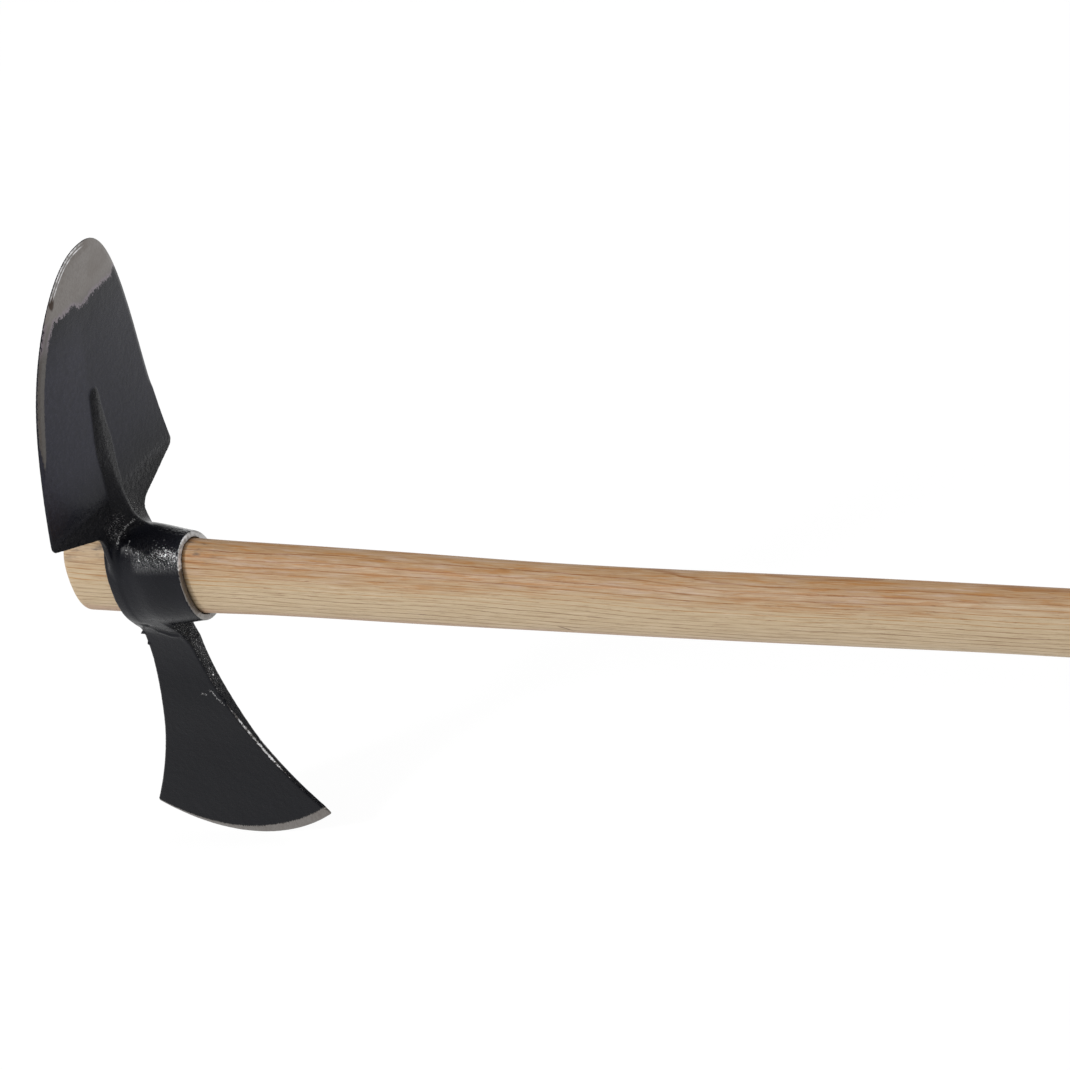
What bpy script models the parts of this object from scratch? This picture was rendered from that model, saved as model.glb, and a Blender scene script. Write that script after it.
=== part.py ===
"""Two-bladed planting hoe: a forged head with a spade blade and an axe blade, on an ash handle.

Metres. The origin is the centre of the handle's flat end at the head. +X runs along the handle to
the grip, +Z points from the eye to the spade blade, and the tool is symmetric about Y = 0.
"""

import math

import bmesh
import bpy

# Handle
HANDLE_LENGTH = 1.050
STUB_LENGTH = 0.036  # how far the thick end stands out beyond the eye
STUB_ROUNDING = 0.0045
GRIP_ROUNDING = 0.008
HANDLE_BOW = 0.0017  # an ash handle is never quite straight: it dips this much towards the axe side
HANDLE_BOW_SPAN = (0.03, 0.53)  # where along the free length it does
# distance from the eye as a share of the free length, half width, half height, squareness
HANDLE_STATIONS = (
    (0.04, 0.0131, 0.0221, 2.25),
    (0.15, 0.0131, 0.0211, 2.2),
    (0.26, 0.0132, 0.0197, 2.15),
    (0.43, 0.0132, 0.0192, 2.1),
    (0.53, 0.0132, 0.0185, 2.1),
    (0.75, 0.0130, 0.0182, 2.1),
    (0.94, 0.0132, 0.0196, 2.1),
    (1.00, 0.0131, 0.0192, 2.1),
)
HANDLE_SIDES = 36
HANDLE_RINGS = 36
HANDLE_CROWDING = 1.2  # above 1, the rings crowd towards the eye
HANDLE_END_STEPS = 5  # rings of each rounded end

# Eye: a conical oval socket, its long axis in the plane of the two blades
EYE_LENGTH = 0.050
EYE_SQUARENESS = 2.15
EYE_COLLAR = 0.12  # crest of the low collar at the head end, as a share of the length
# share of the length from the head end, wall over the bore at the sides, wall at top and bottom
EYE_WALL = (
    (0.00, 0.0052, 0.0071),
    (0.12, 0.0055, 0.0078),
    (0.18, 0.0052, 0.0076),
    (0.27, 0.0052, 0.0073),
    (0.50, 0.0058, 0.0067),
    (1.00, 0.0045, 0.0039),
)
EYE_RIM_CHAMFER = 0.0007
EYE_SIDES = 56
EYE_RINGS = 16
EYE_CROWDING = 1.3  # above 1, the rings crowd towards the head end
BORE_SQUARENESS = 2.3
BORE_HEAD_END = (0.0151, 0.0253)  # half width and half height of the bore at the handle's thick end
BORE_GRIP_END = (0.0136, 0.0232)
SEAT_GAP = 0.0003  # between handle and bore at the thick end, where the handle jams
MOUTH_GAP = 0.0006  # between handle and bore at the grip end, where a thin dark line shows

# Spade blade: a plate bent to an arc that leans towards the grip, crowned on that side
SPADE_SHOULDER_RISE = 0.0196  # from the top of the eye up to the shoulders
SPADE_SHOULDER_SETBACK = 0.0072  # from the eye's head end to the blade's edge, at the shoulders
SPADE_LENGTH = 0.1650  # along the arc, from the shoulders to the tip
SPADE_LEAN = math.radians(5.1)
SPADE_ARC_RADIUS = 0.545
SPADE_HALF_WIDTH = 0.0605
SPADE_SIDE_TAPER = 0.136  # half width lost per metre of length, up the straight sides
SPADE_NOSE = 0.104  # the rounded nose, from the end of the straight sides to the tip
SPADE_NOSE_SHAPE = 2.4
SPADE_NOSE_CAP = 0.025  # the end of it whose outline is the last row across the blade
SPADE_SHOULDER_SLOPE = 2.65  # half width lost per metre of drop, under the shoulders
SPADE_SHOULDER_DROP = 0.0018  # from the shoulders down to where the lower edges turn in
SPADE_SHOULDER_ROUNDING = 0.008
SPADE_NECK_ROUNDING = 0.008
SPADE_TUCK_START = 0.025  # below the shoulders, the neck narrows and sinks into the eye's side
SPADE_TUCK = 8.0  # per metre: half width lost there, over the square of the distance
SPADE_ROOT_DEPTH = 0.056  # how far the plate runs down inside the eye's wall
SPADE_BACK = 0.0006  # from the edge's middle to the back face
SPADE_RIM = 0.0014  # thickness of the blunt edges
SPADE_NECK_RIM = 0.0036  # thickness of the neck's two sides
SPADE_NECK_RUN = 0.018  # below the shoulders, length over which the edges thicken to that
SPADE_ROOT_THICKNESS = 0.0037
SPADE_TIP_THICKNESS = 0.0026
SPADE_CROWN_SHAPE = 2.5
SPADE_GRIND_START = 0.046
SPADE_GRIND_RUN = 0.015  # length over which it starts
SPADE_GRIND = 0.0036  # width of the ground strip along the edge
SPADE_GROUND_EDGE = 0.0010
COVE_RADIUS = 0.0110  # fillet from the blade's face down to the eye, in the middle
COVE_SIDE_RADIUS = 0.0080  # and at the neck's two sides
SPADE_EVEN_COLUMNS = -0.018  # up to here the columns are evenly spread, for the fillet
SPADE_RIB_COLUMNS = -0.004  # from here on they crowd at the rib
SPADE_BULGE_START = 0.050  # from here on the rows bulge towards the nose
# where the rows across the blade lie: start, end and number of steps
SPADE_FILLET_ROWS = (-0.042, -0.005, 21)
SPADE_SHOULDER_ROWS = (-0.0032, 0.0048, 5)
SPADE_BLADE_ROWS = (0.010, 0.130, 17)

# Rib on the face of the spade blade that looks to the grip
# distance above the shoulders, height over the plate, half width at its foot
RIB_STATIONS = (
    (-0.030, 0.0145, 0.0090),
    (-0.016, 0.0095, 0.0080),
    (-0.002, 0.0062, 0.0076),
    (0.014, 0.0033, 0.0074),
    (0.031, 0.0021, 0.0080),
    (0.050, 0.0021, 0.0059),
    (0.066, 0.0021, 0.0044),
)
RIB_TOP = 0.066  # where its rounded end starts
RIB_SHARPNESS = 1.6  # 1 would be a sharp ridge with flat flanks

# Axe blade: a wedge whose two sides flare along arcs down to a curved cutting edge
AXE_NECK = 0.012  # from the bottom of the eye down to where the flare starts
AXE_NECK_BACK = -0.0015  # from the eye's head end to the neck's side there
AXE_NECK_FRONT = 0.0303
AXE_THROAT_LEAN = math.radians(22)  # of the grip side, above that depth
AXE_BACK_LEAN = math.radians(5.6)
AXE_BACK_RADIUS = 0.268
AXE_FRONT_LEAN = math.radians(5.5)
AXE_FRONT_RADIUS = 0.190
AXE_LENGTH = 0.1280  # from the bottom of the eye to the cutting edge's two corners
AXE_EDGE_SAG = 0.0176
AXE_EDGE_TILT = 0.0017  # how much lower the head-end corner lies than the grip-side one
AXE_ROOT = 0.0107  # how far the neck reaches up inside the eye's wall
# distance below the bottom of the eye, thickness
AXE_THICKNESS = (
    (-0.011, 0.0300),
    (-0.004, 0.0250),
    (0.001, 0.0180),
    (0.005, 0.0136),
    (0.010, 0.0116),
    (0.024, 0.0092),
    (0.050, 0.0074),
    (0.078, 0.0043),
    (0.109, 0.0033),
    (0.128, 0.0028),
)
AXE_ROUNDING = 0.0011  # on the two long sides
AXE_GRIND_HEEL = 0.0018  # width of the ground strip along the cutting edge
AXE_GRIND_TOE = 0.0058
AXE_EDGE = 0.0006
AXE_COLUMNS = 14
AXE_ROWS = 28
AXE_CROWDING = 1.25  # above 1, the rows crowd towards the eye
AXE_SAG_SHAPE = 1.5  # above 1, the rows start to sag further down the flare

# Derived places
EYE_HEAD_END = STUB_LENGTH
EYE_GRIP_END = STUB_LENGTH + EYE_LENGTH
EYE_TOP = BORE_HEAD_END[1] + EYE_WALL[0][2]
SPADE_SHOULDER_HEIGHT = EYE_TOP + SPADE_SHOULDER_RISE
SPADE_NOSE_START = SPADE_LENGTH - SPADE_NOSE
SPADE_NOSE_CORNER = SPADE_LENGTH - SPADE_NOSE_CAP


def clear_scene():
    for thing in list(bpy.data.objects):
        bpy.data.objects.remove(thing, do_unlink=True)


def material(name, colour, roughness, metallic):
    made = bpy.data.materials.new(name)
    made.use_nodes = True
    shader = made.node_tree.nodes["Principled BSDF"]
    shader.inputs["Base Color"].default_value = (*colour, 1.0)
    shader.inputs["Roughness"].default_value = roughness
    shader.inputs["Metallic"].default_value = metallic
    return made


def between(stations, at):
    """The values at a place along stations (place, value, ...), on a smooth curve that never overshoots."""
    places = [s[0] for s in stations]
    if at <= places[0]:
        return list(stations[0][1:])
    if at >= places[-1]:
        return list(stations[-1][1:])
    i = max(k for k, place in enumerate(places) if place <= at)
    step = places[i + 1] - places[i]
    t = (at - places[i]) / step
    found = []
    for column in range(1, len(stations[0])):
        values = [s[column] for s in stations]
        start = slope_at(places, values, i) * step
        end = slope_at(places, values, i + 1) * step
        a, b = values[i], values[i + 1]
        value = a * (1 + 2 * t) * (1 - t) ** 2 + b * t * t * (3 - 2 * t)
        found.append(value + start * t * (1 - t) ** 2 + end * t * t * (t - 1))
    return found


def slope_at(places, values, i):
    if i in (0, len(places) - 1):
        a, b = (0, 1) if i == 0 else (i - 1, i)
        return (values[b] - values[a]) / (places[b] - places[a])
    before = (values[i] - values[i - 1]) / (places[i] - places[i - 1])
    after = (values[i + 1] - values[i]) / (places[i + 1] - places[i])
    if before * after <= 0:
        return 0.0
    return 2 * before * after / (before + after)


def ease(t):
    t = min(1.0, max(0.0, t))
    return t * t * (3 - 2 * t)


def mix(a, b, t):
    return a + (b - a) * t


def spread(start, end, steps, crowding=1.0):
    """Places from start to end, both included. Crowding above 1 draws them to the start."""
    return [mix(start, end, (k / steps) ** crowding) for k in range(steps + 1)]


def oval(x, half_width, half_height, squareness, sides, centre_z=0.0):
    """One ring of a loft along X."""
    ring = []
    for k in range(sides):
        turn = 2 * math.pi * (k + 0.5) / sides
        c, s = math.cos(turn), math.sin(turn)
        size = abs(c / half_width) ** squareness + abs(s / half_height) ** squareness
        reach = size ** (-1 / squareness)
        ring.append((x, reach * c, centre_z + reach * s))
    return ring


def loft(name, rings):
    """A closed solid through rings of equally many points, with a flat cap on the first and the last."""
    mesh = bmesh.new()
    made = [[mesh.verts.new(point) for point in ring] for ring in rings]
    sides = len(made[0])
    for lower, upper in zip(made, made[1:]):
        for k in range(sides):
            n = (k + 1) % sides
            mesh.faces.new((lower[k], lower[n], upper[n], upper[k]))
    mesh.faces.new(list(reversed(made[0])))
    mesh.faces.new(made[-1])
    return finished(name, mesh)


def plate(name, rows):
    """A closed solid from rows of (front point, back point) pairs, all rows equally long."""
    mesh = bmesh.new()
    front = [[mesh.verts.new(pair[0]) for pair in row] for row in rows]
    back = [[mesh.verts.new(pair[1]) for pair in row] for row in rows]
    last_row, last_column = len(rows) - 1, len(rows[0]) - 1
    for i in range(last_row):
        for k in range(last_column):
            mesh.faces.new((front[i][k], front[i][k + 1], front[i + 1][k + 1], front[i + 1][k]))
            mesh.faces.new((back[i][k], back[i + 1][k], back[i + 1][k + 1], back[i][k + 1]))
        for k in (0, last_column):
            mesh.faces.new((front[i][k], front[i + 1][k], back[i + 1][k], back[i][k]))
    for i in (0, last_row):
        for k in range(last_column):
            mesh.faces.new((front[i][k], front[i][k + 1], back[i][k + 1], back[i][k]))
    return finished(name, mesh)


def finished(name, mesh):
    bmesh.ops.recalc_face_normals(mesh, faces=mesh.faces)
    data = bpy.data.meshes.new(name)
    mesh.to_mesh(data)
    mesh.free()
    made = bpy.data.objects.new(name, data)
    bpy.context.scene.collection.objects.link(made)
    return made


def smooth(thing, angle):
    thing.data.shade_smooth()
    thing.data.set_sharp_from_angle(angle=math.radians(angle))


def helper(thing):
    thing.hide_render = True
    thing.display_type = "WIRE"
    return thing


def combine(target, other, operation):
    step = target.modifiers.new(f"{operation.lower()} {other.name}", "BOOLEAN")
    step.operation = operation
    step.solver = "EXACT"
    step.object = helper(other)


# Handle

def handle_section(x):
    """Half width, half height and squareness of the handle at x. Inside the eye it fits the bore."""
    if x <= EYE_GRIP_END:
        inside = max(x, EYE_HEAD_END)
        gap = mix(SEAT_GAP, MOUTH_GAP, (inside - EYE_HEAD_END) / EYE_LENGTH)
        return *(half - gap for half in bore_half(inside)), BORE_SQUARENESS
    free = HANDLE_LENGTH - EYE_GRIP_END
    stations = [(EYE_GRIP_END, *handle_section(EYE_GRIP_END))]
    stations += [(EYE_GRIP_END + share * free, *rest) for share, *rest in HANDLE_STATIONS]
    return between(stations, x)


def handle_places():
    """Where the handle's rings lie: close together at its rounded ends and in the eye."""
    turns = spread(0.0, math.pi / 2, HANDLE_END_STEPS)
    rounded = [STUB_ROUNDING * (1 - math.cos(turn)) for turn in turns]
    eye = spread(EYE_HEAD_END, EYE_GRIP_END, 4)
    shaft = spread(EYE_GRIP_END, HANDLE_LENGTH - GRIP_ROUNDING, HANDLE_RINGS, HANDLE_CROWDING)
    grip = [HANDLE_LENGTH - GRIP_ROUNDING * (1 - math.sin(turn)) for turn in turns]
    return [*rounded, mix(STUB_ROUNDING, EYE_HEAD_END, 0.5), *eye, *shaft[1:-1], *grip]


def end_inset(x):
    """How far the rounded ends pull a ring in."""
    if x < STUB_ROUNDING:
        return STUB_ROUNDING - math.sqrt(STUB_ROUNDING**2 - (STUB_ROUNDING - x) ** 2)
    past = x - (HANDLE_LENGTH - GRIP_ROUNDING)
    if past > 0:
        return GRIP_ROUNDING - math.sqrt(max(0.0, GRIP_ROUNDING**2 - past**2))
    return 0.0


def bow(x):
    start, end = HANDLE_BOW_SPAN
    share = (x - EYE_GRIP_END) / (HANDLE_LENGTH - EYE_GRIP_END)
    within = min(1.0, max(0.0, (share - start) / (end - start)))
    return -HANDLE_BOW * math.sin(math.pi * within) ** 2


def make_handle():
    rings = []
    for x in handle_places():
        half_width, half_height, squareness = handle_section(x)
        inset = end_inset(x)
        rings.append(oval(x, half_width - inset, half_height - inset, squareness, HANDLE_SIDES, bow(x)))
    handle = loft("ash_handle", rings)
    smooth(handle, 40)
    handle.data.materials.append(material("oiled ash", (0.62, 0.46, 0.28), 0.55, 0.0))
    return handle


# Eye

def eye_half(x):
    """Outer half width and half height of the eye at x: the bore's plus the wall."""
    walls = between(EYE_WALL, (x - EYE_HEAD_END) / EYE_LENGTH)
    return tuple(inner + wall for inner, wall in zip(bore_half(x), walls))


def make_eye():
    rim = EYE_GRIP_END - EYE_RIM_CHAMFER
    places = spread(EYE_HEAD_END, rim, EYE_RINGS, EYE_CROWDING)
    rings = [oval(x, *eye_half(x), EYE_SQUARENESS, EYE_SIDES) for x in places]
    half_width, half_height = (half - EYE_RIM_CHAMFER for half in eye_half(EYE_GRIP_END))
    rings.append(oval(EYE_GRIP_END, half_width, half_height, EYE_SQUARENESS, EYE_SIDES))
    return loft("forged_head", rings)


def bore_half(x):
    t = (x - EYE_HEAD_END) / EYE_LENGTH
    return tuple(mix(a, b, t) for a, b in zip(BORE_HEAD_END, BORE_GRIP_END))


def make_bore():
    overrun = 0.010
    places = (EYE_HEAD_END - overrun, EYE_HEAD_END, EYE_GRIP_END, EYE_GRIP_END + overrun)
    return loft("bore", [oval(x, *bore_half(x), BORE_SQUARENESS, EYE_SIDES) for x in places])


# Spade blade

def spade_point(along, across, lift):
    """A point on the bent plate: along it from the shoulders, across it, and lifted towards the grip."""
    turn = SPADE_LEAN + along / SPADE_ARC_RADIUS
    x = SPADE_ARC_RADIUS * (math.cos(SPADE_LEAN) - math.cos(turn))
    z = SPADE_ARC_RADIUS * (math.sin(turn) - math.sin(SPADE_LEAN))
    return (
        EYE_HEAD_END + SPADE_SHOULDER_SETBACK + x + lift * math.cos(turn),
        across,
        SPADE_SHOULDER_HEIGHT + z - lift * math.sin(turn),
    )


def soft_least(a, b, rounding):
    """The lesser of two lengths, with the corner between them rounded."""
    near = max(0.0, rounding - abs(a - b)) / rounding
    return min(a, b) - near * near * rounding / 4


def nose_half_width(along):
    share = max(0.0, (along - SPADE_NOSE_START) / (SPADE_LENGTH - SPADE_NOSE_START))
    side = SPADE_HALF_WIDTH - SPADE_SIDE_TAPER * along
    return side * max(0.0, 1 - share**SPADE_NOSE_SHAPE) ** (1 / SPADE_NOSE_SHAPE)


def neck_half_width():
    return eye_half(EYE_HEAD_END + EYE_COLLAR * EYE_LENGTH)[0]


def spade_half_width(along):
    if along > SPADE_SHOULDER_ROUNDING:
        return nose_half_width(along)
    under = SPADE_HALF_WIDTH + SPADE_SHOULDER_SLOPE * (along + SPADE_SHOULDER_DROP)
    width = soft_least(nose_half_width(along), under, SPADE_SHOULDER_ROUNDING)
    neck = neck_half_width() - SPADE_TUCK * max(0.0, -along - SPADE_TUCK_START) ** 2
    return -soft_least(-width, -neck, SPADE_NECK_ROUNDING)


def nose_reach(half):
    """How far along the blade its nose is that half width wide."""
    low, high = SPADE_NOSE_START, SPADE_LENGTH
    for _ in range(40):
        middle = (low + high) / 2
        if nose_half_width(middle) > half:
            low = middle
        else:
            high = middle
    return (low + high) / 2


def crown(along, share):
    """Thickness of the plate, which thins from its middle to its edges."""
    t = (along + SPADE_ROOT_DEPTH) / (SPADE_LENGTH + SPADE_ROOT_DEPTH)
    middle = mix(SPADE_ROOT_THICKNESS, SPADE_TIP_THICKNESS, t)
    rim = mix(SPADE_RIM, SPADE_NECK_RIM, ease(-along / SPADE_NECK_RUN))
    return mix(middle, rim, abs(share) ** SPADE_CROWN_SHAPE)


def rib_height(along, across):
    height, half = between(RIB_STATIONS, along)
    reach = math.hypot(across, max(0.0, along - RIB_TOP))
    return height * max(0.0, 1 - (reach / half) ** RIB_SHARPNESS)


def cove_height(along, across):
    """Height of the fillet between the blade's face and the eye, by the distance from the eye's surface."""
    _, y, z = spade_point(along, across, 0.0)
    half_width, half_height = eye_half(EYE_HEAD_END + SPADE_SHOULDER_SETBACK + COVE_RADIUS)
    n = EYE_SQUARENESS
    share = (abs(y / half_width) ** n + abs(z / half_height) ** n) ** (1 / n)
    away = math.hypot(y, z) * (1 - 1 / share) if share > 0 else -half_height
    radius = mix(COVE_RADIUS, COVE_SIDE_RADIUS, ease(abs(y) / neck_half_width()))
    if away >= radius:
        return 0.0
    if away <= 0:
        return radius + min(-away, radius / 2)
    return radius - math.sqrt(radius**2 - (radius - away) ** 2)


def spade_front(along, across, share):
    """Lift of the face that looks to the grip: the plate's crown, with rib and fillet flowing together."""
    raised = (rib_height(along, across) ** 3 + cove_height(along, across) ** 3) ** (1 / 3)
    return crown(along, share) - SPADE_BACK + raised


def spade_columns(along, half):
    """Shares of the half width where the columns lie, crowded at the rib and with one on the ground line."""
    root = [k / 10 for k in range(1, 10)]
    blade = [0.018, 0.045, 0.072, 0.10, 0.14, 0.25, 0.46, 0.70, 1 - SPADE_GRIND / half]
    t = ease((along - SPADE_EVEN_COLUMNS) / (SPADE_RIB_COLUMNS - SPADE_EVEN_COLUMNS))
    shares = [mix(a, b, t) for a, b in zip(root, blade)]
    return [-1.0, *(-s for s in reversed(shares)), 0.0, *shares, 1.0]


def spade_row(along, back_off=0.0, on_edge=False):
    """One row across the blade. Towards the nose the rows bulge, until the last one is the nose itself."""
    half = spade_half_width(along)
    bulge = ease((along - SPADE_BULGE_START) / (SPADE_NOSE_CORNER - SPADE_BULGE_START))
    ground = ease((along - SPADE_GRIND_START) / SPADE_GRIND_RUN)
    row = []
    for share in spade_columns(along, half):
        across, at = share * half, along
        if bulge > 0 and abs(share) < 1:
            at += bulge * (nose_reach(abs(across)) - nose_reach(half)) - back_off
        front = spade_front(at, across, share)
        if abs(share) == 1 or on_edge:
            front = mix(front, SPADE_GROUND_EDGE - SPADE_BACK, ground)
        row.append((spade_point(at, across, front), spade_point(at, across, -SPADE_BACK)))
    return row


def make_spade():
    places = spread(-SPADE_ROOT_DEPTH, SPADE_FILLET_ROWS[0], 3)[:-1]
    for stretch in (SPADE_FILLET_ROWS, SPADE_SHOULDER_ROWS, SPADE_BLADE_ROWS):
        places += spread(*stretch)
    rows = [spade_row(along) for along in places]
    rows.append(spade_row(SPADE_NOSE_CORNER - SPADE_GRIND, back_off=SPADE_GRIND))
    rows.append(spade_row(SPADE_NOSE_CORNER, on_edge=True))
    return plate("spade_blade", rows)


# Axe blade

def axe_side(depth, throat, lean, radius):
    """How far a side has moved out at a depth below the eye: straight down the neck, then along an arc."""
    above = min(0.0, depth - AXE_NECK) * math.tan(throat)
    turn = math.asin(math.sin(lean) + max(0.0, depth - AXE_NECK) / radius)
    return above + radius * (math.cos(lean) - math.cos(turn))


def axe_back(depth):
    side = axe_side(depth, AXE_BACK_LEAN, AXE_BACK_LEAN, AXE_BACK_RADIUS)
    return EYE_HEAD_END + AXE_NECK_BACK - side


def axe_front(depth):
    side = axe_side(depth, AXE_THROAT_LEAN, AXE_FRONT_LEAN, AXE_FRONT_RADIUS)
    return EYE_HEAD_END + AXE_NECK_FRONT + side


def edge_sag(share):
    """How far the cutting edge's arc hangs below its corners, as a share of its depth in the middle."""
    chord = axe_front(AXE_LENGTH) - axe_back(AXE_LENGTH)
    radius = (chord * chord / 4 + AXE_EDGE_SAG**2) / (2 * AXE_EDGE_SAG)
    across = (share - 0.5) * chord
    return (math.sqrt(radius**2 - across**2) - (radius - AXE_EDGE_SAG)) / AXE_EDGE_SAG


def axe_row(depth, sag, thickness, on_edge=False):
    """One row across the blade. Lower rows sag more, until the last one is the cutting edge."""
    heel, toe = (0.0, 0.0) if on_edge else (AXE_GRIND_HEEL * sag**4, AXE_GRIND_TOE * sag**4)
    back, front = axe_back(depth - heel), axe_front(depth - toe)
    corner = AXE_ROUNDING / (front - back)
    shares = [0.0] + [mix(corner, 1 - corner, k / AXE_COLUMNS) for k in range(AXE_COLUMNS + 1)] + [1.0]
    row = []
    for share in shares:
        half = thickness / 2
        if share in (0.0, 1.0) and not on_edge:
            half -= min(AXE_ROUNDING, half / 2)
        hang = AXE_EDGE_SAG * edge_sag(share) + AXE_EDGE_TILT * (0.5 - share)
        x, z = mix(back, front, share), -(EYE_TOP + depth + hang * sag - mix(heel, toe, share))
        row.append(((x, -half, z), (x, half, z)))
    return row


def make_axe():
    rows = []
    for depth in spread(-AXE_ROOT, AXE_LENGTH, AXE_ROWS, AXE_CROWDING):
        flare = max(0.0, (depth - AXE_NECK) / (AXE_LENGTH - AXE_NECK))
        rows.append(axe_row(depth, flare**AXE_SAG_SHAPE, between(AXE_THICKNESS, depth)[0]))
    rows.append(axe_row(AXE_LENGTH, 1.0, AXE_EDGE, on_edge=True))
    return plate("axe_blade", rows)


def make_head():
    head = make_eye()
    combine(head, make_spade(), "UNION")
    combine(head, make_axe(), "UNION")
    combine(head, make_bore(), "DIFFERENCE")
    smooth(head, 35)
    head.data.materials.append(material("black forged steel", (0.022, 0.022, 0.026), 0.35, 0.4))
    return head


clear_scene()
make_handle()
make_head()
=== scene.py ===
"""Looks of the two-bladed planting hoe: lacquered forged head, ash handle, pale studio.

Shapes are worked out in millimetres in the frame of the part: +X along the handle to the grip, +Z to
the spade blade, and the plane Y = 0 through both blades.
"""

import functools
import math

import bmesh
import bpy
import numpy as np
from mathutils import Matrix, Vector, noise


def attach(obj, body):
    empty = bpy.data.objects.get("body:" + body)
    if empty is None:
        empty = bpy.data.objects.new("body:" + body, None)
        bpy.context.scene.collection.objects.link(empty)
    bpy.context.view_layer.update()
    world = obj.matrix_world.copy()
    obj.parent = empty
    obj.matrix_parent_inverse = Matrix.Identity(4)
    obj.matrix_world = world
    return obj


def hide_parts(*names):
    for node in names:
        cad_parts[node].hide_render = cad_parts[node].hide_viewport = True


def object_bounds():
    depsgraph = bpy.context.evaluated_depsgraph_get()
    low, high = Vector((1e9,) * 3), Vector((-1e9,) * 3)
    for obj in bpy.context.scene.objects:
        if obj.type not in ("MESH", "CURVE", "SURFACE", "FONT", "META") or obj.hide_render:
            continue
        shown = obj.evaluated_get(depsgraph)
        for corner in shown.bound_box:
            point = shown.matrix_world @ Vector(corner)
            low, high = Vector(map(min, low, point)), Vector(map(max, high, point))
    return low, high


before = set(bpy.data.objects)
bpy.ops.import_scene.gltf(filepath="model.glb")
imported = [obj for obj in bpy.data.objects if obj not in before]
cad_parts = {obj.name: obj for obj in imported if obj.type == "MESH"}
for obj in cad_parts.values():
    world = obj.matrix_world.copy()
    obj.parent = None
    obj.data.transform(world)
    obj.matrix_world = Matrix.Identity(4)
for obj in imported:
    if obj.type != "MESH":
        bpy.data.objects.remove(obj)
cad_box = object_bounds()

MM = 0.001

# Handle, as in the part: the thick end stands out of the eye by the stub's length
HANDLE_LENGTH = 1050.0
STUB_LENGTH = 36.0
STUB_ROUNDING = 4.5
GRIP_ROUNDING = 8.0
HANDLE_BOW = 1.7
HANDLE_BOW_SPAN = (0.03, 0.53)
HANDLE_HALF_WIDTH = (
    (0.04, 13.1), (0.15, 13.1), (0.26, 13.2), (0.53, 13.2), (0.75, 13.0), (0.94, 13.2), (1.0, 13.1)
)
HANDLE_HALF_HEIGHT = (
    (0.04, 22.1), (0.15, 21.1), (0.26, 19.7), (0.43, 19.2),
    (0.53, 18.5), (0.75, 18.2), (0.94, 19.6), (1.0, 19.2),
)
HANDLE_SQUARENESS = ((0.04, 2.25), (0.15, 2.2), (0.26, 2.15), (0.43, 2.1), (1.0, 2.1))
HANDLE_SIDES = 128
HANDLE_MIDDLE = (8, HANDLE_LENGTH - GRIP_ROUNDING - 2)  # between the roundings of its ends
HANDLE_STEP = 4.0
STUB_RINGS, GRIP_RINGS = 10, 12
HANDLE_UNEVEN = 0.06
HANDLE_WAVE_LENGTH, HANDLE_WAVES_ROUND = 90, 2.2

# Eye and bore
EYE_HEAD_END = STUB_LENGTH
EYE_LENGTH = 50.0
EYE_GRIP_END = EYE_HEAD_END + EYE_LENGTH
EYE_SQUARENESS = 2.15
EYE_SIDE_WALL = ((0.0, 5.2), (0.12, 5.5), (0.18, 5.2), (0.27, 5.2), (0.50, 5.8), (1.0, 4.5))
EYE_TOP_WALL = ((0.0, 7.1), (0.12, 7.8), (0.18, 7.6), (0.27, 7.3), (0.50, 6.7), (1.0, 3.9))
EYE_HEAD_ROUNDING = 0.3
EYE_RIM_ROUNDING = 0.8
BORE_SQUARENESS = 2.3
BORE_EDGE_ROUNDING = 0.5
BORE_HEAD_END = (15.1, 25.3)
BORE_GRIP_END = (13.6, 23.2)
SEAT_GAP = 0.3
MOUTH_GAP = 0.3
EYE_TOP = BORE_HEAD_END[1] + EYE_TOP_WALL[0][1]

# Spade blade
SPADE_SHOULDER_HEIGHT = EYE_TOP + 19.6
SPADE_SHOULDER_SETBACK = 7.2
SPADE_LENGTH = 165.0
SPADE_LEAN = math.radians(5.1)
SPADE_ARC_RADIUS = 545.0
SPADE_HALF_WIDTH = 60.5
SPADE_SIDE_TAPER = 0.136
SPADE_NOSE = 104.0
SPADE_NOSE_SHAPE = 2.4
SPADE_SHOULDER_SLOPE = 2.65
SPADE_SHOULDER_DROP = 1.8
SPADE_SHOULDER_ROUNDING = 3.5
SPADE_NECK_HALF_WIDTH = 20.4
SPADE_NECK_ROUNDING = 5.0
SPADE_NECK_TOP = 40.0
SPADE_TUCK_START = 25.0
SPADE_TUCK = 0.008
SPADE_ROOT_DEPTH = 56.0
SPADE_BACK = 0.6
SPADE_RIM = 1.4
SPADE_NECK_RIM = 3.6
SPADE_NECK_RUN = 18.0
SPADE_ROOT_THICKNESS = 3.7
SPADE_TIP_THICKNESS = 2.6
SPADE_CROWN = 2.5
SPADE_EDGE_ROUNDING = 0.5
COVE_RADIUS = 11.0
COVE_SIDE_RADIUS = (4.0, 9.0)  # at the two sides, not alike on a forged head
COVE_MIDDLE = 4.0
COVE_SIDE = 15.0
COVE_BACK_RADIUS = 3.0
COVE_BACK_REACH = 2.0
RIB_HEIGHT = ((-30, 14.5), (-16, 9.5), (-2, 6.2), (14, 3.3), (31, 2.1), (50, 2.1), (66, 2.1))
RIB_HALF_WIDTH = ((-30, 9.0), (-16, 8.0), (-2, 7.6), (14, 7.4), (31, 8.0), (50, 5.9), (66, 4.4))
RIB_TOP = 66.0
RIB_SHARPNESS = 1.6
RIB_CREST = 0.3
SPADE_EDGE = 0.8
SPADE_BEVEL = 0.32
SPADE_BEVEL_FADE = (45.0, 15.0)  # the ground rim runs out between these places along the blade
SPADE_UNGROUND = 4.0  # by then its surface is that far above the plate

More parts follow.
